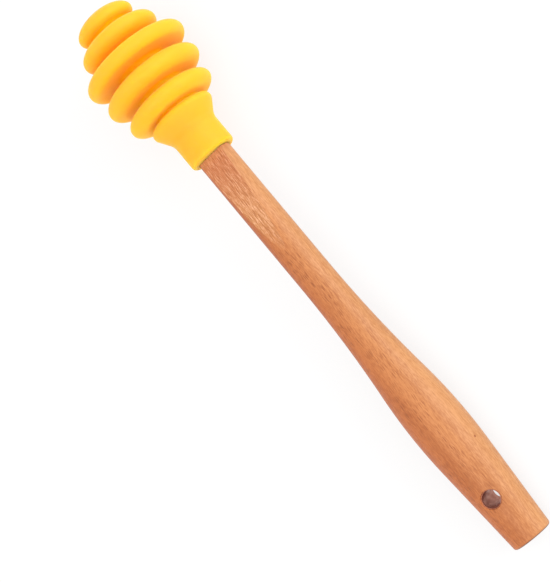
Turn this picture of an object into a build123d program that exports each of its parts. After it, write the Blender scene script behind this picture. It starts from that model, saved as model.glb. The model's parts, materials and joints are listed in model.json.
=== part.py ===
from build123d import *
import os
from math import acos, asin, atan2, cos, degrees, hypot, sin, sqrt

os.makedirs("parts", exist_ok=True)

# Honey dipper, built lying down as it rests on a table.
# A station is a distance along the tool's own axis, measured from the tip of the head towards the butt.

# Overall
overall_length = 190.0

# Ring discs of the head, from the tip: radii, half thicknesses and depths of the rounded rims
ring_radii = (9.2, 12.6, 16.75, 15.8, 14.05)
ring_half_thicknesses = (1.9, 2.8, 2.3, 2.8, 2.6)
ring_rim_depths = (2.0, 3.8, 2.5, 3.9, 3.6)
tip_dome_height = 3.8

# Round-bottomed groove behind each ring: widths, and radii of the floors
groove_widths = (2.0, 2.4, 2.9, 2.3, 1.1)
groove_floor_radii = (6.2, 7.2, 7.4, 7.4, 7.4)

# Bulb, cone and collar behind the last groove
bulb_radius = 10.2
bulb_rounding = 1.5
cone_length = 5.1
collar_length = 9.1
collar_radius = 7.22
collar_rim_rounding = 1.0

# Neck of the handle, its two flats, and the tenon that it forms inside the head
neck_radius = 5.3
flat_distance = 3.3
flat_runout_length = 34.0
tenon_length = 30.0
tenon_chamfer = 0.8
tenon_fit_gap = 0.0
socket_end_gap = 0.6

# Grip
grip_widest_to_butt = 38.0
grip_widest_radius = 8.15
grip_hollow_radius = 361.0
grip_belly_radius = 155.0
butt_radius = 6.05
butt_rounding = 0.9

# Hanging hole and the metal sleeve that lines it
hole_to_butt = 15.1
sleeve_outer_radius = 2.85
sleeve_wall = 0.25
sleeve_length = 12.5
sleeve_fit_gap = 0.0

# Distance by which every cut runs past the surface that it opens
cut_overrun = 2.0

# Places along the head, where each disc stands behind the groove of the one before it
ring_stations = [tip_dome_height]
for ring, groove_width in enumerate(groove_widths[:-1]):
    half_thicknesses = ring_half_thicknesses[ring] + ring_half_thicknesses[ring + 1]
    ring_stations.append(ring_stations[ring] + half_thicknesses + groove_width)
bulb_wall_station = ring_stations[-1] + ring_half_thicknesses[-1] + groove_widths[-1]
bulb_station = bulb_wall_station + bulb_rounding
waist_station = bulb_station + cone_length
head_length = waist_station + collar_length

# Places along the handle
tenon_station = head_length - tenon_length
hole_station = overall_length - hole_to_butt
grip_widest_station = overall_length - grip_widest_to_butt
belly_centre_height = grip_widest_radius - grip_belly_radius
grip_rise = grip_widest_radius - neck_radius
grip_radii_together = grip_hollow_radius + grip_belly_radius
grip_spread = sqrt(grip_radii_together**2 - (grip_radii_together - grip_rise) ** 2)
grip_start_station = grip_widest_station - grip_spread
grip_rise_angle = asin(grip_spread / grip_radii_together)

# The straight taper touches the round belly of the grip and ends at the butt
butt_height_over_centre = butt_radius - belly_centre_height
butt_distance = hypot(grip_widest_to_butt, butt_height_over_centre)
taper_contact_angle = atan2(butt_height_over_centre, grip_widest_to_butt) + acos(
    grip_belly_radius / butt_distance
)
taper_angle = asin(cos(taper_contact_angle))

# The dipper rests on its largest ring and on the belly of the grip, so its axis leans towards the butt
rest_ring = ring_radii.index(max(ring_radii))
rest_station = ring_stations[rest_ring]
rest_half = ring_half_thicknesses[rest_ring]
rest_depth = ring_rim_depths[rest_ring]
rest_rim_radius = ring_radii[rest_ring] - rest_depth


def ring_reach(angle):
    rim_reach = hypot(rest_half * sin(angle), rest_depth * cos(angle))
    return rest_rim_radius * cos(angle) + rim_reach


def belly_reach(angle):
    return belly_centre_height * cos(angle) + grip_belly_radius


lean = 0.0
for step in range(12):
    fall = ring_reach(lean) - belly_reach(lean)
    lean = asin(fall / (grip_widest_station - rest_station))

# The origin is on the table under the middle of the dipper
tip_height = ring_reach(lean) + rest_station * sin(lean)
tip_reach = hypot(tip_dome_height * cos(lean), ring_radii[0] * sin(lean))
front_end = tip_dome_height * cos(lean) - tip_reach
butt_flat_radius = butt_radius - butt_rounding
butt_back = (overall_length - butt_rounding) * cos(lean)
back_end = butt_back + butt_flat_radius * sin(lean) + butt_rounding
tip_x = -(front_end + back_end) / 2

tip = Vector(tip_x, 0, tip_height)
along = Vector(cos(lean), 0, -sin(lean))
upward = Vector(sin(lean), 0, cos(lean))
tool_axis = Axis(tip, along)
side_plane = Plane(origin=tip, x_dir=along, z_dir=(0, -1, 0))


def cross_plane(station):
    return Plane(origin=tip + along * station, x_dir=(0, 1, 0), z_dir=along)


# A quarter of an oval: from its widest point at the crest station down to the centre radius
oval_handle_share = 4 * (sqrt(2) - 1) / 3


def oval_quarter(crest_station, centre_radius, half_width, depth):
    side_station = crest_station + half_width
    crest_radius = centre_radius + depth
    return Bezier(
        (crest_station, crest_radius),
        (crest_station + half_width * oval_handle_share, crest_radius),
        (side_station, centre_radius + depth * oval_handle_share),
        (side_station, centre_radius),
    )


# Head, one soft moulding
with BuildPart() as dipper_head:
    with BuildSketch(side_plane):
        with BuildLine():
            # Domed tip and the back of its rim
            wall_station = ring_stations[0] + ring_half_thicknesses[0]
            wall_radius = ring_radii[0] - ring_rim_depths[0]
            oval_quarter(ring_stations[0], 0, -tip_dome_height, ring_radii[0])
            oval_quarter(
                ring_stations[0],
                wall_radius,
                ring_half_thicknesses[0],
                ring_rim_depths[0],
            )
            next_stations = ring_stations[1:] + [bulb_station]
            next_halves = ring_half_thicknesses[1:] + (bulb_rounding,)
            next_rims = tuple(
                r - d for r, d in zip(ring_radii[1:], ring_rim_depths[1:])
            )
            next_rims += (bulb_radius - bulb_rounding,)
            for groove in range(len(groove_floor_radii)):
                # Wall down, round floor, wall up
                floor_radius = groove_floor_radii[groove]
                far_station = next_stations[groove] - next_halves[groove]
                half_gap = (far_station - wall_station) / 2
                floor_edge = floor_radius + half_gap
                if wall_radius > floor_edge:
                    Line((wall_station, wall_radius), (wall_station, floor_edge))
                    near_edge = floor_edge
                else:
                    near_edge = wall_radius
                ThreePointArc(
                    (wall_station, near_edge),
                    (wall_station + half_gap, floor_radius),
                    (far_station, floor_edge),
                )
                Line((far_station, floor_edge), (far_station, next_rims[groove]))
                if groove + 1 < len(ring_stations):
                    # Rounded rim of the next ring
                    for half_width in (-next_halves[groove], next_halves[groove]):
                        oval_quarter(
                            next_stations[groove],
                            next_rims[groove],
                            half_width,
                            ring_rim_depths[groove + 1],
                        )
                    wall_station = next_stations[groove] + next_halves[groove]
                    wall_radius = next_rims[groove]
            # Rounded edge of the bulb, whose cone touches it and runs down to the waist
            bulb_rim_radius = bulb_radius - bulb_rounding
            waist_fall = collar_radius - bulb_rim_radius
            cone_contact = atan2(waist_fall, cone_length) + acos(
                bulb_rounding / hypot(cone_length, waist_fall)
            )
            cone_start = (
                bulb_station + bulb_rounding * cos(cone_contact),
                bulb_rim_radius + bulb_rounding * sin(cone_contact),
            )
            CenterArc(
                (bulb_station, bulb_rim_radius),
                bulb_rounding,
                degrees(cone_contact),
                180 - degrees(cone_contact),
            )
            Line(cone_start, (waist_station, collar_radius))
            # Collar with a rounded rim
            rim_station = head_length - collar_rim_rounding
            rim_radius = collar_radius - collar_rim_rounding
            Line((waist_station, collar_radius), (rim_station, collar_radius))
            CenterArc((rim_station, rim_radius), collar_rim_rounding, 0, 90)
            Line((head_length, rim_radius), (head_length, 0))
            Line((head_length, 0), (0, 0))
        make_face()
    revolve(axis=tool_axis)
    # Blind socket for the flatted tenon
    with BuildSketch(cross_plane(tenon_station - socket_end_gap)):
        Circle(neck_radius + tenon_fit_gap)
        Rectangle(
            2 * (neck_radius + cut_overrun),
            2 * (flat_distance + tenon_fit_gap),
            mode=Mode.INTERSECT,
        )
    extrude(amount=tenon_length + socket_end_gap + cut_overrun, mode=Mode.SUBTRACT)
dipper_head.part.label = "dipper_head"

# Handle, one turned stick
with BuildPart() as handle:
    with BuildSketch(side_plane):
        with BuildLine():
            Line((tenon_station, 0), (tenon_station, neck_radius - tenon_chamfer))
            Line(
                (tenon_station, neck_radius - tenon_chamfer),
                (tenon_station + tenon_chamfer, neck_radius),
            )
            Line(
                (tenon_station + tenon_chamfer, neck_radius),
                (grip_start_station, neck_radius),
            )
            hollow = JernArc(
                (grip_start_station, neck_radius),
                (1, 0),
                grip_hollow_radius,
                degrees(grip_rise_angle),
            )
            belly = JernArc(
                hollow @ 1,
                hollow % 1,
                grip_belly_radius,
                -degrees(grip_rise_angle + taper_angle),
            )
            Line(belly @ 1, (overall_length, butt_radius))
            Line((overall_length, butt_radius), (overall_length, 0))
            Line((overall_length, 0), (tenon_station, 0))
        make_face()
    revolve(axis=tool_axis)
    fillet(handle.edges().sort_by(tool_axis)[-1], butt_rounding)
    # Two flats key the tenon in the head and run out along the neck
    flat_slope = (neck_radius - flat_distance) / flat_runout_length
    flat_top = grip_widest_radius + cut_overrun
    flat_end = head_length + (flat_top - flat_distance) / flat_slope
    for side in (1, -1):
        with BuildSketch(side_plane):
            with BuildLine():
                Polyline(
                    (tenon_station - cut_overrun, side * flat_distance),
                    (head_length, side * flat_distance),
                    (flat_end, side * flat_top),
                    (tenon_station - cut_overrun, side * flat_top),
                    close=True,
                )
            make_face()
        extrude(amount=flat_top, both=True, mode=Mode.SUBTRACT)
    # Cross-drilled hanging hole
    hole_plane = Plane(origin=tip + along * hole_station, x_dir=along, z_dir=upward)
    with BuildSketch(hole_plane):
        Circle(sleeve_outer_radius + sleeve_fit_gap)
    extrude(amount=grip_widest_radius + cut_overrun, both=True, mode=Mode.SUBTRACT)
handle.part.label = "handle"

# Metal sleeve in the hanging hole
with BuildPart() as hanging_hole_sleeve:
    with BuildSketch(hole_plane):
        Circle(sleeve_outer_radius)
        Circle(sleeve_outer_radius - sleeve_wall, mode=Mode.SUBTRACT)
    extrude(amount=sleeve_length / 2, both=True)
hanging_hole_sleeve.part.label = "hanging_hole_sleeve"

export_step(dipper_head.part, "parts/dipper_head.step")
export_step(handle.part, "parts/handle.step")
export_step(hanging_hole_sleeve.part, "parts/hanging_hole_sleeve.step")
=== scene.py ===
import json
from math import acos, asin, atan2, cos, hypot, pi, radians, sin, sqrt

import bmesh
import bpy
import numpy as np
from bpy.props import FloatProperty, FloatVectorProperty, PointerProperty
from mathutils import Euler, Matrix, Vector


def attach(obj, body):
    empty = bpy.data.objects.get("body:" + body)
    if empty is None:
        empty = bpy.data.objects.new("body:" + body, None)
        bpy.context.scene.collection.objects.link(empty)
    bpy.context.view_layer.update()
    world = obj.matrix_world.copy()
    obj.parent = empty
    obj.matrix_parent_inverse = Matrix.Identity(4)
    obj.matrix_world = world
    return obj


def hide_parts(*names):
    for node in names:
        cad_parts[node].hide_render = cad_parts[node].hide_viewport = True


bl_info = {
    "name": "Honey Dipper",
    "version": (1, 0, 0),
    "blender": (4, 5, 0),
    "location": "3D View > Sidebar > Honey Dipper",
    "description": "Builds a honey dipper with a soft ringed head, a turned handle and a lined hanging hole",
    "category": "Object",
}

MM = 0.001

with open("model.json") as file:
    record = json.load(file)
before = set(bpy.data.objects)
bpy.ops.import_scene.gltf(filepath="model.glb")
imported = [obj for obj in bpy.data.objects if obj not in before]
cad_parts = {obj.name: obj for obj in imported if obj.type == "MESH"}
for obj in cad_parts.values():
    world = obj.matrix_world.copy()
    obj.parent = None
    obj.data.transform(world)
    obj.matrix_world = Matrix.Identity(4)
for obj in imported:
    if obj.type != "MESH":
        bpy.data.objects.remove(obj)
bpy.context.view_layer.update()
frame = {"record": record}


def srgb(red, green, blue):
    """A colour given as 0 to 255, as the linear colour that a material takes."""
    shares = np.array((red, green, blue)) / 255
    low = shares / 12.92
    high = ((shares + 0.055) / 1.055) ** 2.4
    return tuple(float(c) for c in np.where(shares <= 0.04045, low, high))


def length_property(name, description, millimetres):
    """A length, or a row of lengths where several are given, with the default in millimetres."""
    settings = {"name": name, "description": description, "min": 0.0, "precision": 5, "unit": "LENGTH"}
    if isinstance(millimetres, tuple):
        lengths = [m * MM for m in millimetres]
        return FloatVectorProperty(default=lengths, size=len(lengths), **settings)
    return FloatProperty(default=millimetres * MM, **settings)


def colour_property(name, description, colour):
    """A colour, with the default given as 0 to 255."""
    return FloatVectorProperty(
        name=name,
        description=description,
        default=srgb(*colour),
        size=3,
        min=0.0,
        max=1.0,
        subtype="COLOR",
    )


def power_property(name, description, watts):
    """Power of a light."""
    return FloatProperty(name=name, description=description, default=watts, min=0.0, unit="POWER")


class DipperHeadSettings(bpy.types.PropertyGroup):
    ring_radii: length_property(
        "Ring Radii", "Radii of the five ring discs, from the tip", (9.2, 12.6, 16.75, 15.8, 14.05)
    )
    ring_half_thicknesses: length_property(
        "Ring Half Thicknesses", "Half the thickness of each ring disc", (1.9, 2.8, 2.3, 2.8, 2.6)
    )
    ring_rim_depths: length_property(
        "Ring Rim Depths", "How deep the rounding of each rim reaches", (2.0, 3.8, 2.5, 3.9, 3.6)
    )
    tip_dome_height: length_property("Tip Dome Height", "Height of the dome that closes the tip", 3.8)
    groove_widths: length_property(
        "Groove Widths", "Width of the groove behind each ring", (2.0, 2.4, 2.9, 2.3, 1.1)
    )
    groove_floor_radii: length_property(
        "Groove Floor Radii", "Radius of the core at the floor of each groove", (6.2, 7.2, 7.4, 7.4, 7.4)
    )
    bulb_radius: length_property("Bulb Radius", "Radius of the bulb behind the rings", 10.2)
    bulb_rounding: length_property("Bulb Rounding", "Rounding of the bulb's edge", 1.5)
    cone_length: length_property("Cone Length", "Length of the cone behind the bulb", 5.1)
    collar_length: length_property("Collar Length", "Length of the straight collar", 9.1)
    collar_radius: length_property("Collar Radius", "Radius of the straight collar", 7.22)
    collar_rim_rounding: length_property("Collar Rim Rounding", "Rounding of the collar's outer rim", 1.0)
    waist_softening: length_property(
        "Waist Softening", "How far the softened waist reaches along the cone and the collar", 1.4
    )
    lip_rounding: length_property("Lip Rounding", "Rounding of the collar's edge round the handle", 0.12)
    socket_end_gap: length_property("Socket End Gap", "Room in the socket past the end of the tenon", 0.6)
    colour: colour_property("Colour", "Colour of the silicone", (255, 177, 40))
    # Painted shade: a deeper amber painted into the grooves, the rings' walls and the collar's lip, standing
    # in for the shade there
    painted_shade_colour: colour_property("Deep Colour", "Colour of the silicone in its grooves", (255, 191, 0))


class DipperHandleSettings(bpy.types.PropertyGroup):
    overall_length: length_property("Overall Length", "Length from the tip to the butt", 190.0)
    neck_radius: length_property("Neck Radius", "Radius of the slim neck", 5.3)
    flat_distance: length_property("Flat Distance", "Distance of each flat from the handle's axis", 3.3)
    flat_runout_length: length_property(
        "Flat Runout Length", "Length over which the flats fade into the neck", 34.0
    )
    tenon_length: length_property("Tenon Length", "Length of the handle's end inside the head", 30.0)
    tenon_chamfer: length_property("Tenon Chamfer", "Chamfer of the tenon's end", 0.8)
    grip_widest_to_butt: length_property(
        "Grip Widest to Butt", "Distance of the widest place from the butt", 38.0
    )
    grip_widest_radius: length_property(
        "Grip Widest Radius", "Radius of the grip at its widest place", 8.15
    )
    grip_hollow_radius: length_property(
        "Grip Hollow Radius", "Radius of the hollow curve that leads into the grip", 361.0
    )
    grip_belly_radius: length_property("Grip Belly Radius", "Radius of the grip's round belly", 155.0)
    butt_radius: length_property("Butt Radius", "Radius of the butt", 6.05)
    butt_rounding: length_property("Butt Rounding", "Rounding of the butt's edge", 0.9)
    hole_to_butt: length_property("Hole to Butt", "Distance of the hanging hole from the butt", 15.1)
    hole_edge_rounding: length_property("Hole Edge Rounding", "Rounding of the hanging hole's edge", 0.25)
    light_colour: colour_property("Light Wood", "Colour of the lighter grain", (202, 144, 90))
    dark_colour: colour_property("Dark Wood", "Colour of the darker grain", (174, 112, 60))
    # Painted shade: the wood on the side turned away from the key light is tinted darker and redder
    painted_shade_tint: colour_property(
        "Red Side Tint", "Tint of the redder wood along one side", (240, 180, 116)
    )
    fleck_colour: colour_property("Flecks", "Colour of the short flecks in the grain", (144, 74, 26))
    sanded_colour: colour_property("Sanded Flat", "Colour of the roughly sanded flats", (187, 113, 68))
    scratch_colour: colour_property(
        "Scratches", "Colour of the pale scratches on the flats", (228, 170, 130)
    )
    # Bare wood of the hole's wall and the end grain's pores, and also painted shade in the hole and along
    # the collar's edge
    bare_and_shaded_wood_colour: colour_property(
        "Bare Wood", "Colour of the bare wood inside the hole and the collar", (100, 48, 20)
    )
    end_colour: colour_property("End Grain", "Colour of the butt's end grain", (140, 86, 54))
    late_colour: colour_property(
        "Late Wood", "Colour of the darker growth rings in the end grain", (116, 68, 40)
    )


class DipperSleeveSettings(bpy.types.PropertyGroup):
    outer_radius: length_property("Outer Radius", "Outer radius of the sleeve", 2.85)
    wall: length_property("Wall", "Wall of the sleeve", 0.25)
    length: length_property("Length", "Length of the sleeve", 12.5)
    edge_rounding: length_property("Edge Rounding", "Rounding of the sleeve's edges", 0.06)
    colour: colour_property("Colour", "Colour of the metal", (181, 114, 89))


class DipperStageSettings(bpy.types.PropertyGroup):
    floor_size: length_property("Floor Size", "Width of the square floor", 8000.0)
    floor_colour: colour_property("Floor", "Colour of the floor", (240, 240, 240))
    key_power: power_property(
        "Key Light Power", "Power of the large soft light beside the dipper", 5.7
    )
    fill_power: power_property("Fill Light Power", "Power of the soft light above the dipper", 1.2)


SETTINGS = {
    "dipper_head_settings": DipperHeadSettings,
    "dipper_handle_settings": DipperHandleSettings,
    "dipper_sleeve_settings": DipperSleeveSettings,
    "dipper_stage_settings": DipperStageSettings,
}

# The dipper's own directions at rest, from the record's hanging hole
hole_mount = next(m for m in frame["record"]["mounts"] if m["name"] == "hanging_hole")
UPWARD = np.array(Vector(hole_mount["axis"]).normalized())
SIDEWAYS = np.array((0.0, 1.0, 0.0))
ALONG = np.cross(SIDEWAYS, UPWARD)


def hole_station(handle):
    """Station of the hanging hole, counted as every station from the tip of the head."""
    return handle.overall_length - handle.hole_to_butt


def to_shared_frame(handle, points):
    """Points given as station, side and height, placed in the shared frame."""
    points = np.asarray(points, float)
    centre = np.array(hole_mount["pos_m"])
    stations = points[:, 0:1] - hole_station(handle)
    return centre + stations * ALONG + points[:, 1:2] * SIDEWAYS + points[:, 2:3] * UPWARD


# Meshes


class Skin:
    """Collects the points and faces of one closed surface."""

    def __init__(self):
        self.points = []
        self.faces = []

    def add(self, points):
        """Adds points and gives their numbers."""
        start = len(self.points)
        self.points.extend(tuple(p) for p in points)
        return list(range(start, len(self.points)))

    def face(self, *corners):
        self.faces.append(corners)

    def band(self, one, other):
        """Faces between two closed rows of points of the same count."""
        for i in range(len(one)):
            j = (i + 1) % len(one)
            self.face(one[i], one[j], other[j], other[i])

    def cap(self, row, centre):
        """A fan of faces between a row of points and its centre."""
        (middle,) = self.add([centre])
        for i in range(len(row)):
            self.face(row[i], row[(i + 1) % len(row)], middle)


def cross_row(station, angles, radii):
    """Points of one row across the tool, at angles from the upward direction."""
    stations = np.full(len(angles), station)
    return np.stack((stations, radii * np.sin(angles), radii * np.cos(angles)), axis=1)


def show_mesh(name, skin, handle, material, sharp_angle):
    """Makes the object, whose points are given in the tool's own frame."""
    mesh = bpy.data.meshes.new(name)
    placed = to_shared_frame(handle, skin.points)
    mesh.from_pydata(placed.tolist(), [], skin.faces)
    # Every face is turned outwards
    turned = bmesh.new()
    turned.from_mesh(mesh)
    bmesh.ops.recalc_face_normals(turned, faces=turned.faces)
    turned.to_mesh(mesh)
    turned.free()
    mesh.validate()
    mesh.shade_smooth()
    mesh.set_sharp_from_angle(angle=sharp_angle)
    made = bpy.data.objects.new(name, mesh)
    bpy.context.scene.collection.objects.link(made)
    mesh.materials.append(material)
    return made


def float_attribute(mesh, name, values):
    attribute = mesh.attributes.new(name, "FLOAT", "POINT")
    attribute.data.foreach_set("value", np.asarray(values, np.float32))


def vector_attribute(mesh, name, values):
    attribute = mesh.attributes.new(name, "FLOAT_VECTOR", "POINT")
    attribute.data.foreach_set("vector", np.asarray(values, np.float32).ravel())


# Head

HEAD_SHARP_ANGLE = radians(40)
HEAD_COLUMNS = 256
HEAD_ARC_STEPS = 16
GROOVE_WALL_SHARES = (0.25, 0.5, 0.75)
CONE_STEPS = 10
WAIST_STEPS = 10
COLLAR_STEPS = 12
COLLAR_RIM_STEPS = 12
LIP_STEPS = 8
SOCKET_WALL_SHARES = (0.1, 0.3, 0.6, 1.0)
SMALLEST_ROW_GAP = 0.001 * MM
# How much of the painted shade of the grooves, a deeper amber, shows at the top of a groove's wall and on
# the collar's lip
WALL_PAINTED_SHADE = 0.65
LIP_PAINTED_SHADE = 0.3


def quarter_steps(count=HEAD_ARC_STEPS):
    """Angles from nought to a quarter turn, in that many steps."""
    return np.linspace(0, pi / 2, count + 1)


def flat_limit(angles, radius, flat):
    """Radius of a round of that radius with two flats, at angles from the upward direction."""
    facing = np.maximum(np.abs(np.cos(angles)), 1e-9)
    return np.minimum(radius, flat / facing)


def add_row(rows, station, radius, shade=0.0):
    """Adds a row to the head's outline, unless it would stand where the last one stands."""
    if rows and hypot(station - rows[-1][0], radius - rows[-1][1]) < SMALLEST_ROW_GAP:
        return
    rows.append((station, radius, shade))


def add_rings(rows, head):
    """Domed tip, ring discs and grooves. Gives the station of the bulb."""
    radii, halves = list(head.ring_radii), list(head.ring_half_thicknesses)
    depths, widths = list(head.ring_rim_depths), list(head.groove_widths)
    inners = [radius - depth for radius, depth in zip(radii, depths)]
    next_halves = halves[1:] + [head.bulb_rounding]
    next_inners = inners[1:] + [head.bulb_radius - head.bulb_rounding]
    station = head.tip_dome_height
    for t in quarter_steps(2 * HEAD_ARC_STEPS)[1:]:
        add_row(rows, station * (1 - cos(t)), radii[0] * sin(t))
    # Each row carries its painted shade, which deepens down the walls into the grooves
    for ring, (inner, half, depth) in enumerate(zip(inners, halves, depths)):
        if ring:
            for t in quarter_steps():
                shade = WALL_PAINTED_SHADE * (1 - sin(t))
                add_row(rows, station - half * cos(t), inner + depth * sin(t), shade)
        for t in quarter_steps()[1:]:
            shade = WALL_PAINTED_SHADE * (1 - cos(t))
            add_row(rows, station + half * sin(t), inner + depth * cos(t), shade)
        # Groove behind the ring: wall down, round floor, wall up
        wall = station + half
        far_wall = wall + widths[ring]
        half_gap = widths[ring] / 2
        floor_edge = head.groove_floor_radii[ring] + half_gap
        far_height = next_inners[ring] - floor_edge
        for share in GROOVE_WALL_SHARES:
            if inner > floor_edge:
                shade = WALL_PAINTED_SHADE + (1 - WALL_PAINTED_SHADE) * share
                add_row(rows, wall, inner + (floor_edge - inner) * share, shade)
        for t in np.linspace(0, pi, HEAD_ARC_STEPS + 1):
            add_row(rows, wall + half_gap * (1 - cos(t)), floor_edge - half_gap * sin(t), 1.0)
        for share in GROOVE_WALL_SHARES:
            shade = 1 - (1 - WALL_PAINTED_SHADE) * share
            add_row(rows, far_wall, floor_edge + far_height * share, shade)
        station = far_wall + next_halves[ring]
    return station


def add_bulb_and_collar(rows, head, station):
    """Bulb, cone, softened waist and collar. Gives the station of the collar's end."""
    # The cone touches the rounded edge of the bulb and runs down to the waist
    edge = head.bulb_rounding
    inner = head.bulb_radius - edge
    fall = head.collar_radius - inner
    contact = atan2(fall, head.cone_length) + acos(edge / hypot(head.cone_length, fall))
    for t in np.linspace(pi, contact, HEAD_ARC_STEPS + 1):
        shade = WALL_PAINTED_SHADE * (1 - sin(t)) if t > pi / 2 else 0.0
        add_row(rows, station + edge * cos(t), inner + edge * sin(t), shade)
    start = np.array(rows[-1][:2])
    waist = np.array((station + head.cone_length, head.collar_radius))
    cone = waist - start
    # The waist is softened between a point on the cone and one on the collar
    before = waist - cone / np.hypot(*cone) * head.waist_softening
    after = waist + (head.waist_softening, 0.0)
    for share in np.linspace(0, 1, CONE_STEPS + 1)[1:-1]:
        add_row(rows, *(start + (before - start) * share))
    for share in np.linspace(0, 1, WAIST_STEPS + 1):
        near = before + (waist - before) * share
        far = waist + (after - waist) * share
        add_row(rows, *(near + (far - near) * share))
    # Collar and its rounded rim
    rounding = head.collar_rim_rounding
    rim_station = waist[0] + head.collar_length - rounding
    rim_radius = head.collar_radius - rounding
    for share in np.linspace(0, 1, COLLAR_STEPS + 1)[1:]:
        add_row(rows, after[0] + (rim_station - after[0]) * share, head.collar_radius)
    for t in quarter_steps(COLLAR_RIM_STEPS)[1:]:
        add_row(rows, rim_station + rounding * sin(t), rim_radius + rounding * cos(t))
    return waist[0] + head.collar_length


def head_profile(head):
    """Outer outline of the head as rows of station, radius and painted shade, and the collar's end."""
    rows = []
    bulb_station = add_rings(rows, head)
    head_end = add_bulb_and_collar(rows, head, bulb_station)
    return rows, head_end


def build_head(head, handle):
    """Outer skin, then the lip round the handle and the socket with its two flats."""
    rows, head_end = head_profile(head)
    angles = np.arange(HEAD_COLUMNS) * 2 * pi / HEAD_COLUMNS
    skin, shades = Skin(), []

    def add_ring_of_points(station, radii, shade):
        shades.extend([shade] * HEAD_COLUMNS)
        return skin.add(cross_row(station, angles, radii))

    first = previous = add_ring_of_points(*rows[0])
    for row in rows[1:]:
        current = add_ring_of_points(*row)
        skin.band(previous, current)
        previous = current
    opening = flat_limit(angles, handle.neck_radius, handle.flat_distance)
    # The lip carries a painted shade that deepens towards the socket
    for t in quarter_steps(LIP_STEPS):
        current = add_ring_of_points(
            head_end - head.lip_rounding * (1 - cos(t)),
            opening + head.lip_rounding * (1 - sin(t)),
            LIP_PAINTED_SHADE * sin(t),
        )
        skin.band(previous, current)
        previous = current
    socket_start = head_end - head.lip_rounding
    socket_end = head_end - handle.tenon_length - head.socket_end_gap
    for share in SOCKET_WALL_SHARES:
        station = socket_start + (socket_end - socket_start) * share
        current = add_ring_of_points(station, opening, 1.0)
        skin.band(previous, current)
        previous = current
    skin.cap(previous, (socket_end, 0, 0))
    skin.cap(first, (0, 0, 0))
    shades.extend([1.0, 0.0])
    made = show_mesh("silicone_head", skin, handle, silicone_material(head), HEAD_SHARP_ANGLE)
    # Painted shade of the grooves and the lip, stored on each point
    float_attribute(made.data, "painted_groove_shade", shades)
    return made


# Handle

HANDLE_SHARP_ANGLE = radians(32)
# Where the columns stand across half of a flat's fan, and across half of a round side
FLAT_COLUMN_SHARES = (0, 0.008, 0.025, 0.055, 0.1, 0.15, 0.2, 0.25, 0.3, 0.35, 0.4, 0.45)
ROUND_COLUMN_SHARES = (0, 0.006, 0.018, *np.arange(0.04, 0.5, 0.04).round(2))
# Rows of each stretch of the handle, and the gaps between the stretches
TENON_ROWS = 20
FLAT_ROWS = 90
GRIP_ROWS = 80
HOLE_PATCH_ROWS = 17
BUTT_ROWS = 12
TENON_GAP = 2 * MM
COLLAR_GAP = 0.5 * MM
FLAT_OVERRUN = 2 * MM
ROW_GAP = 1 * MM
BUTT_EDGE_STEPS = 10
BUTT_FACE_SHARES = (0.97, 0.8, 0.6, 0.4, 0.2)
# The skin round the hole: its half length in radii of the sleeve, its half angle and its rows
HOLE_PATCH_REACH = 1.6
HOLE_PATCH_ANGLE = radians(38)
HOLE_SKIN_SHARES = (0.12, 0.26, 0.4, 0.54, 0.67, 0.78, 0.87, 0.94, 1.0)
HOLE_EDGE_STEPS = 5
HOLE_WALL_ROWS = 22
NARROWEST_FAN = radians(14)
FAN_GAP = 6 * MM
# Looks of the wood that are stored on the mesh
GRAIN_TURN = radians(-12)
# Painted light and shade: the side turned this far from the upward direction is left pale, the opposite side
# is tinted darker and redder
PAINTED_LIT_SIDE_TURN = radians(100)
KNOT_STATION = 159.3 * MM
KNOT_TURN = radians(62.3)
SANDED_REACH = 36 * MM
SANDED_FADE = 12 * MM
FLAT_TOLERANCE = 0.02 * MM
END_GRAIN_SHARE = 0.35


def mirrored(shares):
    """Shares of the way across a band of columns, both ends and the middle included."""
    lower = list(shares)
    return lower + [0.5] + [1 - s for s in reversed(lower)]


FAN = mirrored(FLAT_COLUMN_SHARES)
SIDE = mirrored(ROUND_COLUMN_SHARES)
FAN_COLUMNS = len(FAN) - 1
BOTTOM_FAN_START = FAN_COLUMNS + len(SIDE) - 1


def grip_lines(handle):
    """Function that gives the turned radius at any station of the handle."""
    widest = handle.overall_length - handle.grip_widest_to_butt
    rise = handle.grip_widest_radius - handle.neck_radius
    together = handle.grip_hollow_radius + handle.grip_belly_radius
    spread = sqrt(together**2 - (together - rise) ** 2)
    start = widest - spread
    joint = start + handle.grip_hollow_radius * spread / together
    belly_centre = handle.grip_widest_radius - handle.grip_belly_radius
    hollow_centre = handle.neck_radius + handle.grip_hollow_radius
    over_centre = handle.butt_radius - belly_centre
    distance = hypot(handle.grip_widest_to_butt, over_centre)
    contact = atan2(over_centre, handle.grip_widest_to_butt) + acos(handle.grip_belly_radius / distance)
    taper = asin(cos(contact))
    taper_start = widest + handle.grip_belly_radius * cos(contact)

    def arc_height(radius, along):
        return np.sqrt(np.maximum(radius**2 - along**2, 0))

    def radius(station):
        station = np.asarray(station, float)
        hollow = hollow_centre - arc_height(handle.grip_hollow_radius, station - start)
        belly = belly_centre + arc_height(handle.grip_belly_radius, station - widest)
        straight = handle.butt_radius + (handle.overall_length - station) * np.tan(taper)
        made = np.where(station < start, handle.neck_radius, hollow)
        made = np.where(station > joint, belly, made)
        return np.where(station > taper_start, straight, made)

    return radius


def flat_lines(handle, head_end):
    """Function that gives the distance of the flats from the axis at any station."""
    slope = (handle.neck_radius - handle.flat_distance) / handle.flat_runout_length

    def distance(station):
        return handle.flat_distance + slope * np.maximum(station - head_end, 0)

    return distance


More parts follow.
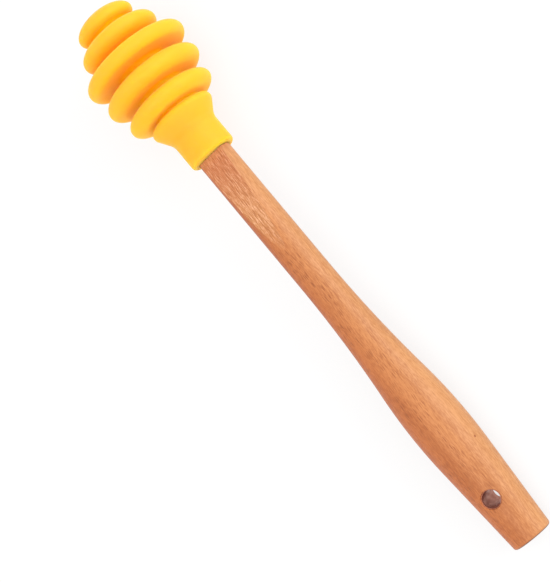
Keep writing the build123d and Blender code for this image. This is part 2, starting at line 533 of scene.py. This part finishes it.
def handle_stations(handle, head_end, patch_half):
    """Stations of the handle's rows, and the numbers of those that start a patch of the hole's skin."""
    tenon_end = head_end - handle.tenon_length
    flats_end = head_end + handle.flat_runout_length
    patch_start = hole_station(handle) - patch_half
    patch_end = hole_station(handle) + patch_half
    rounding_start = handle.overall_length - handle.butt_rounding
    stretches = (
        (tenon_end + TENON_GAP, head_end - COLLAR_GAP, TENON_ROWS),
        (head_end, flats_end + FLAT_OVERRUN, FLAT_ROWS),
        (flats_end + FLAT_OVERRUN + ROW_GAP, patch_start - ROW_GAP, GRIP_ROWS),
        (patch_start, patch_end, HOLE_PATCH_ROWS),
        (patch_end + ROW_GAP, rounding_start, BUTT_ROWS),
    )
    stations = [tenon_end + handle.tenon_chamfer]
    for start, end, count in stretches:
        stations += list(np.linspace(start, end, count))
    first = 1 + TENON_ROWS + FLAT_ROWS + GRIP_ROWS
    return np.array(stations), range(first, first + HOLE_PATCH_ROWS - 1)


def handle_columns(handle, head_end, patch_half, radius_at, flat_at):
    """Function that gives a row's angles: two fans that keep to the flats, and two round sides."""
    flats_end = head_end + handle.flat_runout_length
    fade = hole_station(handle) - patch_half - FAN_GAP - flats_end

    def fan_edge(station):
        on_flats = np.arccos(np.clip(flat_at(station) / radius_at(station), 0, 1))
        blend = np.clip((station - flats_end) / fade, 0, 1)
        blend = blend * blend * (3 - 2 * blend)
        later = NARROWEST_FAN + (HOLE_PATCH_ANGLE - NARROWEST_FAN) * blend
        return max(on_flats, later)

    def angles(station):
        edge = fan_edge(station)
        made = [-edge + 2 * edge * s for s in FAN[:-1]]
        made += [edge + (pi - 2 * edge) * s for s in SIDE[:-1]]
        made += [pi - edge + 2 * edge * s for s in FAN[:-1]]
        made += [pi + edge + (pi - 2 * edge) * s for s in SIDE[:-1]]
        return np.array(made)

    return angles


def add_turned_skin(skin, stations, patch_rows, column_angles, radius_at, flat_at):
    """The handle's long skin, left open round the hole. Gives the rows of points."""
    grid = []
    for station in stations:
        angles = column_angles(station)
        radii = flat_limit(angles, radius_at(station), flat_at(station))
        grid.append(skin.add(cross_row(station, angles, radii)))
    columns = 2 * BOTTOM_FAN_START
    open_columns = {*range(FAN_COLUMNS), *range(BOTTOM_FAN_START, BOTTOM_FAN_START + FAN_COLUMNS)}
    for i in range(len(stations) - 1):
        for j in range(columns):
            if i in patch_rows and j in open_columns:
                continue
            k = (j + 1) % columns
            skin.face(grid[i][j], grid[i][k], grid[i + 1][k], grid[i + 1][j])
    return grid


def add_butt(skin, handle, last_row, angles, radius_at):
    """Rounded edge and flat face of the butt."""
    rounding_start = handle.overall_length - handle.butt_rounding
    edge_radius = float(radius_at(handle.overall_length)) - handle.butt_rounding
    corner = float(radius_at(rounding_start)) - edge_radius
    places = [
        (rounding_start + handle.butt_rounding * sin(t), edge_radius + corner * cos(t))
        for t in quarter_steps(BUTT_EDGE_STEPS)[1:]
    ]
    places += [(handle.overall_length, edge_radius * share) for share in BUTT_FACE_SHARES]
    previous = last_row
    for station, radius in places:
        current = skin.add(cross_row(station, angles, radius))
        skin.band(previous, current)
        previous = current
    skin.cap(previous, (handle.overall_length, 0, 0))


def add_tenon_end(skin, handle, first_row, angles, tenon_end):
    """Chamfered end of the tenon."""
    small = handle.neck_radius - handle.tenon_chamfer
    radii = flat_limit(angles, small, handle.flat_distance)
    current = skin.add(cross_row(tenon_end, angles, radii))
    skin.band(current, first_row)
    skin.cap(current, (tenon_end, 0, 0))


def patch_border(grid, patch_rows, first_column):
    """Points round the opening left for the hole's skin."""
    low, high = patch_rows[0], patch_rows[-1] + 1
    last_column = first_column + FAN_COLUMNS
    border = [grid[i][first_column] for i in range(low, high)]
    border += [grid[high][j] for j in range(first_column, last_column)]
    border += [grid[i][last_column] for i in range(high, low, -1)]
    border += [grid[low][j] for j in range(last_column, first_column, -1)]
    return border


def add_hole(skin, handle, sleeve, grid, patch_rows, radius_at):
    """Skin round the hanging hole, top and bottom, then its wall. Gives the wall's first point."""
    hole = hole_station(handle)
    rounding = handle.hole_edge_rounding
    wide = sleeve.outer_radius + rounding

    def height(px, py):
        return np.sqrt(radius_at(hole + px) ** 2 - py**2)

    edges = []
    for sign, first_column in ((1, 0), (-1, BOTTOM_FAN_START)):
        border = patch_border(grid, patch_rows, first_column)[::sign]
        at_border = np.array([skin.points[p] for p in border])
        x, y = at_border[:, 0] - hole, at_border[:, 1]
        turn = np.arctan2(y, x)
        wide_x, wide_y = wide * np.cos(turn), wide * np.sin(turn)
        rows = [border]
        for share in HOLE_SKIN_SHARES:
            px, py = x + (wide_x - x) * share, y + (wide_y - y) * share
            rows.append(skin.add(np.stack((hole + px, py, sign * height(px, py)), axis=1)))
        for t in quarter_steps(HOLE_EDGE_STEPS)[1:]:
            radius = wide - rounding * sin(t)
            fallen = height(wide_x, wide_y) - rounding * (1 - cos(t))
            px, py = radius * np.cos(turn), radius * np.sin(turn)
            rows.append(skin.add(np.stack((hole + px, py, sign * fallen), axis=1)))
        for one, other in zip(rows, rows[1:]):
            skin.band(*(one, other)[::sign])
        edges.append((rows[-1], turn))
    (top, top_turn), (bottom, bottom_turn) = edges
    bottom = [bottom[i] for i in match_turns(top_turn, bottom_turn)]
    top_points = np.array([skin.points[p] for p in top])
    bottom_points = np.array([skin.points[p] for p in bottom])
    wall_start = len(skin.points)
    previous = top
    for share in np.linspace(0, 1, HOLE_WALL_ROWS)[1:-1]:
        current = skin.add(top_points + (bottom_points - top_points) * share)
        skin.band(previous, current)
        previous = current
    skin.band(previous, bottom)
    return wall_start


def build_handle(handle, sleeve, head_end):
    """Turned stick with its two flats, chamfered tenon, rounded butt and hanging hole."""
    radius_at = grip_lines(handle)
    flat_at = flat_lines(handle, head_end)
    patch_half = HOLE_PATCH_REACH * sleeve.outer_radius
    stations, patch_rows = handle_stations(handle, head_end, patch_half)
    column_angles = handle_columns(handle, head_end, patch_half, radius_at, flat_at)
    skin = Skin()
    grid = add_turned_skin(skin, stations, patch_rows, column_angles, radius_at, flat_at)
    add_butt(skin, handle, grid[-1], column_angles(stations[-1]), radius_at)
    tenon_end = head_end - handle.tenon_length
    add_tenon_end(skin, handle, grid[0], column_angles(stations[0]), tenon_end)
    wall_start = add_hole(skin, handle, sleeve, grid, patch_rows, radius_at)
    made = show_mesh("wooden_handle", skin, handle, wood_material(handle), HANDLE_SHARP_ANGLE)
    paint_wood(made, handle, skin, head_end, flat_at, radius_at, wall_start)
    return made


def match_turns(turn, other):
    """For each angle in turn, the index of the same angle in other."""
    gaps = np.abs(np.angle(np.exp(1j * (turn[:, None] - other[None, :]))))
    return list(np.argmin(gaps, axis=1))


def grain_place(points):
    """Points of the tool's own frame in millimetres, turned so that the rays point along the third axis."""
    points = np.asarray(points, float)
    station, side, up = points[:, 0], points[:, 1], points[:, 2]
    across = side * cos(GRAIN_TURN) - up * sin(GRAIN_TURN)
    deep = side * sin(GRAIN_TURN) + up * cos(GRAIN_TURN)
    return np.stack((station, across, deep), axis=1) / MM


def knot_place(handle):
    """Place of the knot, in the same measure as the grain's."""
    radius = grip_lines(handle)(KNOT_STATION)
    knot = (KNOT_STATION, radius * sin(KNOT_TURN), radius * cos(KNOT_TURN))
    return tuple(float(c) for c in grain_place([knot])[0])


def paint_wood(made, handle, skin, head_end, flat_at, radius_at, wall_start):
    """Stores on the mesh the places and shares from which the wood's looks, painted light and shade
    included, are worked out.
    """
    mesh = made.data
    points = np.array(skin.points)
    station, side, up = points[:, 0], points[:, 1], points[:, 2]
    placed = grain_place(points)
    vector_attribute(mesh, "grain_place", placed)
    radius = np.maximum(np.hypot(side, up), 1e-9)
    float_attribute(mesh, "grain_facing", np.clip(np.abs(placed[:, 2] * MM) / radius, 0, 1))
    # Painted light and shade: how far each point faces the pale, lit side
    turn = np.arctan2(side, up)
    float_attribute(mesh, "painted_lit_side", 0.5 + 0.5 * np.cos(turn - PAINTED_LIT_SIDE_TURN))
    flat = flat_at(station)
    on_flat = (np.abs(np.abs(up) - flat) < FLAT_TOLERANCE) & (radius_at(station) > flat)
    fade = np.clip((head_end + SANDED_REACH - station) / SANDED_FADE, 0, 1)
    float_attribute(mesh, "sanded", np.where(on_flat, fade, 0.0))
    # The hole's wall takes the dark bare wood colour, partly bare wood and partly painted shade
    bare = np.zeros(len(points))
    bare[wall_start:] = 1.0
    float_attribute(mesh, "bare", bare)
    # End grain of the butt, and the distance past the collar, which sets the painted shade on the wood that
    # the collar hides and at its edge
    flat_butt = station > handle.overall_length - END_GRAIN_SHARE * handle.butt_rounding
    float_attribute(mesh, "end_grain", np.where(flat_butt, 1.0, 0.0))
    float_attribute(mesh, "past_collar", (station - head_end) / MM)


# Sleeve

SLEEVE_SHARP_ANGLE = radians(40)
SLEEVE_COLUMNS = 96
SLEEVE_EDGE_STEPS = 4
SLEEVE_OUTER_STEPS = 8
SLEEVE_BORE_STEPS = 16


def sleeve_outline(sleeve):
    """Closed outline of the sleeve's wall, as radii and heights."""
    inner, outer = sleeve.outer_radius - sleeve.wall, sleeve.outer_radius
    r = sleeve.edge_rounding
    end = sleeve.length / 2 - r
    steps = quarter_steps(SLEEVE_EDGE_STEPS)
    outline = [(outer - r + r * sin(t), end + r * cos(t)) for t in steps]
    outline += [(outer, h) for h in np.linspace(end, -end, SLEEVE_OUTER_STEPS + 1)[1:-1]]
    outline += [(outer - r + r * cos(t), -end - r * sin(t)) for t in steps]
    outline += [(inner + r - r * sin(t), -end - r * cos(t)) for t in steps]
    outline += [(inner, h) for h in np.linspace(-end, end, SLEEVE_BORE_STEPS + 1)[1:-1]]
    outline += [(inner + r - r * cos(t), end + r * sin(t)) for t in steps]
    return outline


def build_sleeve(sleeve, handle):
    """Thin tube that lines the hanging hole."""
    angles = np.arange(SLEEVE_COLUMNS) * 2 * pi / SLEEVE_COLUMNS
    hole = hole_station(handle)
    skin = Skin()
    rows = []
    for radius, height in sleeve_outline(sleeve):
        stations, heights = hole + radius * np.cos(angles), np.full(SLEEVE_COLUMNS, height)
        rows.append(skin.add(np.stack((stations, radius * np.sin(angles), heights), axis=1)))
    for i in range(len(rows)):
        skin.band(rows[(i + 1) % len(rows)], rows[i])
    made = show_mesh("metal_sleeve", skin, handle, metal_material(sleeve), SLEEVE_SHARP_ANGLE)
    place = np.array(skin.points) - (hole, 0, 0)
    vector_attribute(made.data, "bore_place", place / MM)
    return made


# Materials


class Nodes:
    """Builds a material's nodes with short calls."""

    def __init__(self, name):
        self.material = bpy.data.materials.new(name)
        self.material.use_nodes = True
        self.tree = self.material.node_tree
        self.tree.nodes.clear()
        self.output = self.tree.nodes.new("ShaderNodeOutputMaterial")

    def add(self, kind, inputs=None, **settings):
        made = self.tree.nodes.new(kind)
        for name, value in settings.items():
            setattr(made, name, value)
        for name, value in (inputs or {}).items():
            self.put(made.inputs[name], value)
        return made

    def put(self, socket, value):
        if isinstance(value, bpy.types.NodeSocket):
            self.tree.links.new(value, socket)
        else:
            socket.default_value = value

    def attribute(self, name, output="Fac"):
        return self.add("ShaderNodeAttribute", attribute_name=name).outputs[output]

    def maths(self, operation, one, other):
        return self.add("ShaderNodeMath", {0: one, 1: other}, operation=operation).outputs[0]

    def scaled(self, vector, factors):
        return self.add("ShaderNodeVectorMath", {0: vector, 1: factors}, operation="MULTIPLY").outputs[0]

    def noise(self, vector, factors, detail=2.0, roughness=0.55, distortion=0.0):
        """Noise from 0 to 1 in the place given by a vector times its factors."""
        inputs = {
            "Vector": self.scaled(vector, factors),
            "Scale": 1.0,
            "Detail": detail,
            "Roughness": roughness,
            "Distortion": distortion,
        }
        return self.add("ShaderNodeTexNoise", inputs).outputs["Fac"]

    def remap(self, value, low, high, to_low=0.0, to_high=1.0, kind="SMOOTHSTEP"):
        """A value that goes from to_low to to_high as the given one goes from low to high."""
        inputs = {
            "Value": value,
            "From Min": low,
            "From Max": high,
            "To Min": to_low,
            "To Max": to_high,
        }
        return self.add("ShaderNodeMapRange", inputs, interpolation_type=kind).outputs["Result"]

    def mix(self, share, one, other, blend="MIX"):
        """Mix of two colours, which the node takes in its sockets 6 and 7 and gives in socket 2."""
        inputs = {0: share, 6: one, 7: other}
        return self.add("ShaderNodeMix", inputs, data_type="RGBA", blend_type=blend).outputs[2]

    def bump(self, height, strength, distance, normal=None):
        inputs = {"Height": height, "Strength": strength, "Distance": distance}
        if normal is not None:
            inputs["Normal"] = normal
        return self.add("ShaderNodeBump", inputs).outputs["Normal"]

    def finish(self, shader):
        self.tree.links.new(shader.outputs[0], self.output.inputs["Surface"])
        return self.material


def opaque(colour):
    return (*colour, 1.0)


# Values between which most of a noise lies
NOISE_SPREAD = (0.3, 0.7)

# Silicone: its fine grain and its duller patches per metre, and how far light goes into it
SILICONE_GRAIN = (2600.0, 2600.0, 2600.0)
SILICONE_GRAIN_BUMP = {"strength": 0.05, "distance": 0.06 * MM}
SILICONE_PATCHES = (140.0, 140.0, 140.0)
SILICONE_ROUGHNESS = (0.5, 0.6)
SILICONE_LIGHT_REACH = 7 * MM
SILICONE_LIGHT_REACH_BY_COLOUR = (1.0, 0.55, 0.06)


def silicone_material(head):
    """Soft matt silicone, with a painted shade of deeper amber towards its grooves and on the collar's lip.
    """
    n = Nodes("yellow_silicone")
    place = n.add("ShaderNodeTexCoord").outputs["Object"]
    grain = n.noise(place, SILICONE_GRAIN)
    patches = n.noise(place, SILICONE_PATCHES, detail=1.0)
    # Painted shade: how much of the deeper amber is mixed in, towards the grooves and at the collar's lip
    depth = n.attribute("painted_groove_shade")
    inputs = {
        "Base Color": n.mix(depth, opaque(head.colour), opaque(head.painted_shade_colour)),
        "Roughness": n.remap(patches, *NOISE_SPREAD, *SILICONE_ROUGHNESS),
        "Specular IOR Level": 0.25,
        "Subsurface Weight": 1.0,
        "Subsurface Radius": SILICONE_LIGHT_REACH_BY_COLOUR,
        "Subsurface Scale": SILICONE_LIGHT_REACH,
        "Sheen Weight": 0.07,
        "Sheen Roughness": 0.5,
        "Normal": n.bump(grain, **SILICONE_GRAIN_BUMP),
    }
    shader = n.add("ShaderNodeBsdfPrincipled", inputs, subsurface_method="RANDOM_WALK")
    return n.finish(shader)


# Wood: its features, as cycles in a millimetre along the grain, across it and along the rays
BAND_SCALE = (0.02, 0.22, 0.22)
RING_SCALE = (0.006, 0.12, 0.9)
FIBRE_SCALE = (0.5, 3.2, 3.2)
FLECK_SCALE = (0.36, 3.8, 0.08)
FLECK_FIELD_SCALE = (0.05, 0.3, 0.3)
STREAK_SCALE = (0.3, 3.2, 3.2)
SEASON_SCALE = (0.01, 0.2, 1.5)
PORE_SCALE = (0.5, 6.0, 6.0)
# Shares of the bands, the rings and the fibres in the tone, and the range over which it darkens
BAND_SHARE = 0.3
RING_SHARE = 0.2
FIBRE_SHARE = 0.5
TONE_RANGE = (0.36, 0.64)
# A fleck's soft edge in its cell, how strong each one is by chance, and where flecks lie thick or thin
FLECK_EDGE = (0.46, 0.32)
FLECK_CHANCE = (0.3, 0.75)
FLECK_FIELDS = (0.38, 0.6, 0.3, 1.0)
FLECK_FACING_POWER = 2.0
# The knot's soft edge in millimetres from its middle
KNOT_EDGE = (0.5, 0.25)
KNOT_STRENGTH = 0.85
# Streaks left by coarse sanding, and how they and the wood get paler in millimetres past the collar
PALE_STREAK_RANGE = (0.53, 0.6)
DARK_STREAK_RANGE = (0.47, 0.4)
DARK_STREAK_STRENGTH = 0.55
PALING_REACH = (4.0, 24.0)
PALING_SHARE = 0.55
PALE_EDGE_AT_COLLAR = (3.0, 0.2, 0.0, 0.6)
SCRATCHES_AT_COLLAR = 0.45
SCRATCHES_GAINED = 0.4
# End grain, and the painted shade on the wood that the collar hides and at its edge
SEASON_RANGE = (0.4, 0.6)
PORE_RANGE = (0.5, 0.68, 0.0, 0.6)
PAINTED_SHADE_AT_COLLAR = (0.15, -0.05, 0.0, 0.7)
# Relief and gloss
FLECK_DEPTH = 0.8
FIBRE_BUMP = {"strength": 0.4, "distance": 0.06 * MM}
STREAK_BUMP_STRENGTH = 0.6
STREAK_BUMP_DISTANCE = 0.2 * MM
WOOD_ROUGHNESS = (0.42, 0.55)
SANDED_ROUGHNESS_GAINED = 0.2


def fleck_strength(n, place):
    """Short spindles that lie along the grain, clearest where the face cuts across the rays."""
    inputs = {"Vector": n.scaled(place, FLECK_SCALE), "Scale": 1.0}
    cells = n.add("ShaderNodeTexVoronoi", inputs, feature="F1")
    spindle = n.remap(cells.outputs["Distance"], *FLECK_EDGE)
    chance = n.add("ShaderNodeSeparateColor", {0: cells.outputs["Color"]}).outputs[0]
    chosen = n.remap(chance, *FLECK_CHANCE, kind="LINEAR")
    fields = n.remap(n.noise(place, FLECK_FIELD_SCALE, detail=1.0), *FLECK_FIELDS)
    facing = n.maths("POWER", n.attribute("grain_facing"), FLECK_FACING_POWER)
    where = n.maths("MULTIPLY", facing, fields)
    return n.maths("MULTIPLY", n.maths("MULTIPLY", spindle, chosen), where)


def sanded_colours(n, handle, streaks):
    """Flats left from coarse sanding: darker, with short pale and dark streaks."""
    pale = n.remap(streaks, *PALE_STREAK_RANGE)
    dark = n.remap(streaks, *DARK_STREAK_RANGE)
    past_collar = n.attribute("past_collar")
    away = n.remap(past_collar, *PALING_REACH)
    beside = n.remap(past_collar, *PALE_EDGE_AT_COLLAR)
    lighter = n.maths("MAXIMUM", n.maths("MULTIPLY", away, PALING_SHARE), beside)
    scratched = n.maths("ADD", n.maths("MULTIPLY", away, SCRATCHES_GAINED), SCRATCHES_AT_COLLAR)
    colour = n.mix(lighter, opaque(handle.sanded_colour), opaque(handle.light_colour))
    colour = n.mix(n.maths("MULTIPLY", pale, scratched), colour, opaque(handle.scratch_colour))
    dark = n.maths("MULTIPLY", dark, DARK_STREAK_STRENGTH)
    return n.mix(dark, colour, opaque(handle.fleck_colour))


def end_grain_colours(n, handle, place):
    """Growth rings of the butt, and the dark ends of its pores."""
    seasons = n.remap(n.noise(place, SEASON_SCALE, distortion=0.3), *SEASON_RANGE)
    pores = n.remap(n.noise(place, PORE_SCALE, detail=1.0), *PORE_RANGE)
    colour = n.mix(seasons, opaque(handle.end_colour), opaque(handle.late_colour))
    return n.mix(pores, colour, opaque(handle.bare_and_shaded_wood_colour))


def wood_material(handle):
    """Beech with bands, growth rings, fibres, flecks, a knot, sanded flats and end grain, with painted shade
    on one side, in the hole and at the collar's edge.
    """
    n = Nodes("beech_wood")
    place = n.attribute("grain_place", "Vector")
    sanded = n.attribute("sanded")
    bands = n.noise(place, BAND_SCALE)
    rings = n.noise(place, RING_SCALE, distortion=0.2)
    fibres = n.noise(place, FIBRE_SCALE, roughness=0.7)
    tone = n.maths("ADD", n.maths("MULTIPLY", bands, BAND_SHARE), n.maths("MULTIPLY", rings, RING_SHARE))
    tone = n.maths("ADD", tone, n.maths("MULTIPLY", fibres, FIBRE_SHARE))
    tone = n.remap(tone, *TONE_RANGE)
    colour = n.mix(tone, opaque(handle.light_colour), opaque(handle.dark_colour))
    # Painted shade: the side turned away from the key light is tinted darker and redder
    painted_shade_side = n.maths("SUBTRACT", 1.0, n.attribute("painted_lit_side"))
    colour = n.mix(painted_shade_side, colour, opaque(handle.painted_shade_tint), "MULTIPLY")
    flecks = fleck_strength(n, place)
    colour = n.mix(flecks, colour, opaque(handle.fleck_colour))
    # One small dark knot beside the hole
    from_knot = n.add(
        "ShaderNodeVectorMath", {0: place, 1: knot_place(handle)}, operation="DISTANCE"
    ).outputs["Value"]
    knot = n.maths("MULTIPLY", n.remap(from_knot, *KNOT_EDGE), KNOT_STRENGTH)
    colour = n.mix(knot, colour, opaque(handle.fleck_colour))
    streaks = n.noise(place, STREAK_SCALE, detail=3.0, roughness=0.75)
    colour = n.mix(sanded, colour, sanded_colours(n, handle, streaks))
    colour = n.mix(n.attribute("end_grain"), colour, end_grain_colours(n, handle, place))
    # Painted shade along the collar's edge and under it, and the bare wood of the hole's wall, partly
    # painted shade
    painted_shade_or_bare = n.remap(n.attribute("past_collar"), *PAINTED_SHADE_AT_COLLAR)
    painted_shade_or_bare = n.maths("MAXIMUM", n.attribute("bare"), painted_shade_or_bare)
    colour = n.mix(painted_shade_or_bare, colour, opaque(handle.bare_and_shaded_wood_colour))
    height = n.maths("SUBTRACT", fibres, n.maths("MULTIPLY", flecks, FLECK_DEPTH))
    normal = n.bump(height, **FIBRE_BUMP)
    streak_bump = n.maths("MULTIPLY", sanded, STREAK_BUMP_STRENGTH)
    normal = n.bump(streaks, streak_bump, STREAK_BUMP_DISTANCE, normal)
    roughness = n.remap(fibres, *NOISE_SPREAD, *WOOD_ROUGHNESS)
    rougher = n.maths("MULTIPLY", sanded, SANDED_ROUGHNESS_GAINED)
    inputs = {
        "Base Color": colour,
        "Roughness": n.maths("ADD", roughness, rougher),
        "Specular IOR Level": 0.5,
        "Sheen Weight": 0.12,
        "Sheen Roughness": 0.25,
        "Normal": normal,
    }
    return n.finish(n.add("ShaderNodeBsdfPrincipled", inputs))


# Metal: lines drawn round the sleeve and dull patches, as cycles in a millimetre
DRAWN_LINE_SCALE = (4.0, 4.0, 0.25)
DRAWN_LINE_BUMP = {"strength": 0.3, "distance": 0.05 * MM}
DULL_PATCH_SCALE = (0.9, 0.9, 0.5)
METAL_ROUGHNESS = (0.32, 0.5)


def metal_material(sleeve):
    """Drawn brown metal with duller patches."""
    n = Nodes("bronze_metal")
    place = n.attribute("bore_place", "Vector")
    drawn = n.noise(place, DRAWN_LINE_SCALE, detail=3.0)
    dull = n.noise(place, DULL_PATCH_SCALE)
    inputs = {
        "Base Color": opaque(sleeve.colour),
        "Metallic": 1.0,
        "Roughness": n.remap(dull, *NOISE_SPREAD, *METAL_ROUGHNESS),
        "Normal": n.bump(drawn, **DRAWN_LINE_BUMP),
    }
    return n.finish(n.add("ShaderNodeBsdfPrincipled", inputs))


# Stage

WHITE = (1.0, 1.0, 1.0, 1.0)
FLOOR_WHITE_SHARE = 0.75
SKY_STRENGTH = 1.12
KEY_LIGHT = {"place": (0.0, 1.0, 0.4), "target": (0, 0, 0.02), "size": 0.9}
FILL_LIGHT = {"place": (0.35, 0.0, 0.8), "target": (0, 0, 0), "size": 0.6}
CAMERA_PLACE = (0.0830215, 0.1502190, 0.4203184)
CAMERA_TURN = (-5.683299, 23.531710, 48.364432)
CAMERA_LENS = 98.7835
CAMERA_CLIPS = (0.01, 20)
SENSOR_WIDTH = 36.0


def rays_that_show_the_background(tree):
    """Share that is 1 for camera, glossy and transmission rays, which see the white background."""
    seen = tree.nodes.new("ShaderNodeLightPath")
    share = seen.outputs["Is Camera Ray"]
    for name in ("Is Glossy Ray", "Is Transmission Ray"):
        larger = tree.nodes.new("ShaderNodeMath")
        larger.operation = "MAXIMUM"
        tree.links.new(share, larger.inputs[0])
        tree.links.new(seen.outputs[name], larger.inputs[1])
        share = larger.outputs[0]
    return share


def floor_material(stage):
    """Pale floor that looks white and still keeps the dipper's shadow."""
    n = Nodes("pale_floor")
    straight = rays_that_show_the_background(n.tree)
    paper = n.add(
        "ShaderNodeBsdfDiffuse", {"Color": opaque(stage.floor_colour), "Roughness": 0.5}
    ).outputs[0]
    glow = n.add("ShaderNodeEmission", {"Color": WHITE, "Strength": 1.0}).outputs[0]
    shown = n.add("ShaderNodeMixShader", {0: FLOOR_WHITE_SHARE, 1: paper, 2: glow}).outputs[0]
    return n.finish(n.add("ShaderNodeMixShader", {0: straight, 1: paper, 2: shown}))


def soft_light(name, place, target, size, power):
    light = bpy.data.lights.new(name, "AREA")
    light.shape = "DISK"
    light.size = size
    light.energy = power
    made = bpy.data.objects.new(name, light)
    bpy.context.scene.collection.objects.link(made)
    made.location = place
    made.rotation_euler = (Vector(target) - Vector(place)).to_track_quat("-Z", "Y").to_euler()


def build_floor(stage):
    half = stage.floor_size / 2
    mesh = bpy.data.meshes.new("floor")
    corners = [(-half, -half, 0), (half, -half, 0), (half, half, 0), (-half, half, 0)]
    mesh.from_pydata(corners, [], [(0, 1, 2, 3)])
    mesh.materials.append(floor_material(stage))
    floor = bpy.data.objects.new("floor", mesh)
    bpy.context.scene.collection.objects.link(floor)


def build_sky():
    """World that lights the dipper evenly and shows a white background."""
    world = bpy.data.worlds.new("studio")
    bpy.context.scene.world = world
    world.use_nodes = True
    tree = world.node_tree
    tree.nodes.clear()
    output = tree.nodes.new("ShaderNodeOutputWorld")
    mixer = tree.nodes.new("ShaderNodeMixShader")
    tree.links.new(rays_that_show_the_background(tree), mixer.inputs[0])
    for socket, strength in ((1, SKY_STRENGTH), (2, 1.0)):
        white = tree.nodes.new("ShaderNodeBackground")
        white.inputs["Color"].default_value = WHITE
        white.inputs["Strength"].default_value = strength
        tree.links.new(white.outputs[0], mixer.inputs[socket])
    tree.links.new(mixer.outputs[0], output.inputs["Surface"])


def build_camera():
    camera = bpy.data.cameras.new("photo_camera")
    camera.sensor_width = SENSOR_WIDTH
    camera.lens = CAMERA_LENS
    camera.clip_start, camera.clip_end = CAMERA_CLIPS
    eye = bpy.data.objects.new("photo_camera", camera)
    bpy.context.scene.collection.objects.link(eye)
    eye.location = CAMERA_PLACE
    eye.rotation_euler = Euler([radians(a) for a in CAMERA_TURN], "XYZ")
    bpy.context.scene.camera = eye


def build_stage(stage):
    build_floor(stage)
    build_sky()
    soft_light("key_light", **KEY_LIGHT, power=stage.key_power)
    soft_light("fill_light", **FILL_LIGHT, power=stage.fill_power)
    build_camera()
    bpy.context.scene.view_settings.view_transform = "Standard"


# Operators


class OBJECT_OT_dipper_head(bpy.types.Operator):
    """Build the ringed silicone head"""

    bl_idname = "object.dipper_head"
    bl_label = "Build Head"

    def execute(self, context):
        scene = context.scene
        made = build_head(scene.dipper_head_settings, scene.dipper_handle_settings)
        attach(made, "root")
        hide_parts("dipper_head")
        return {"FINISHED"}


class OBJECT_OT_dipper_handle(bpy.types.Operator):
    """Build the turned handle with its flats and hanging hole"""

    bl_idname = "object.dipper_handle"
    bl_label = "Build Handle"

    def execute(self, context):
        scene = context.scene
        head_end = head_profile(scene.dipper_head_settings)[1]
        made = build_handle(scene.dipper_handle_settings, scene.dipper_sleeve_settings, head_end)
        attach(made, "root")
        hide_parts("handle")
        return {"FINISHED"}


class OBJECT_OT_dipper_sleeve(bpy.types.Operator):
    """Build the metal sleeve of the hanging hole"""

    bl_idname = "object.dipper_sleeve"
    bl_label = "Build Sleeve"

    def execute(self, context):
        scene = context.scene
        made = build_sleeve(scene.dipper_sleeve_settings, scene.dipper_handle_settings)
        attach(made, "root")
        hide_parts("hanging_hole_sleeve")
        return {"FINISHED"}


class OBJECT_OT_dipper_stage(bpy.types.Operator):
    """Build the floor, the lights and the camera"""

    bl_idname = "object.dipper_stage"
    bl_label = "Build Stage"

    def execute(self, context):
        build_stage(context.scene.dipper_stage_settings)
        return {"FINISHED"}


OPERATORS = (
    OBJECT_OT_dipper_head,
    OBJECT_OT_dipper_handle,
    OBJECT_OT_dipper_sleeve,
    OBJECT_OT_dipper_stage,
)


class VIEW3D_PT_dipper(bpy.types.Panel):
    """Sizes, colours and building steps of the honey dipper"""

    bl_idname = "VIEW3D_PT_dipper"
    bl_label = "Honey Dipper"
    bl_space_type = "VIEW_3D"
    bl_region_type = "UI"
    bl_category = "Honey Dipper"

    def draw(self, context):
        for (name, group), operator in zip(SETTINGS.items(), OPERATORS):
            box = self.layout.box()
            settings = getattr(context.scene, name)
            for key in group.__annotations__:
                box.prop(settings, key)
            box.operator(operator.bl_idname)


CLASSES = (*SETTINGS.values(), *OPERATORS, VIEW3D_PT_dipper)


def register():
    for made in CLASSES:
        bpy.utils.register_class(made)
    for name, group in SETTINGS.items():
        setattr(bpy.types.Scene, name, PointerProperty(type=group))


def unregister():
    for name in SETTINGS:
        delattr(bpy.types.Scene, name)
    for made in reversed(CLASSES):
        bpy.utils.unregister_class(made)


def main():
    register()
    bpy.ops.object.dipper_head()
    bpy.ops.object.dipper_handle()
    bpy.ops.object.dipper_sleeve()
    bpy.ops.object.dipper_stage()


if __name__ == "__main__":
    main()
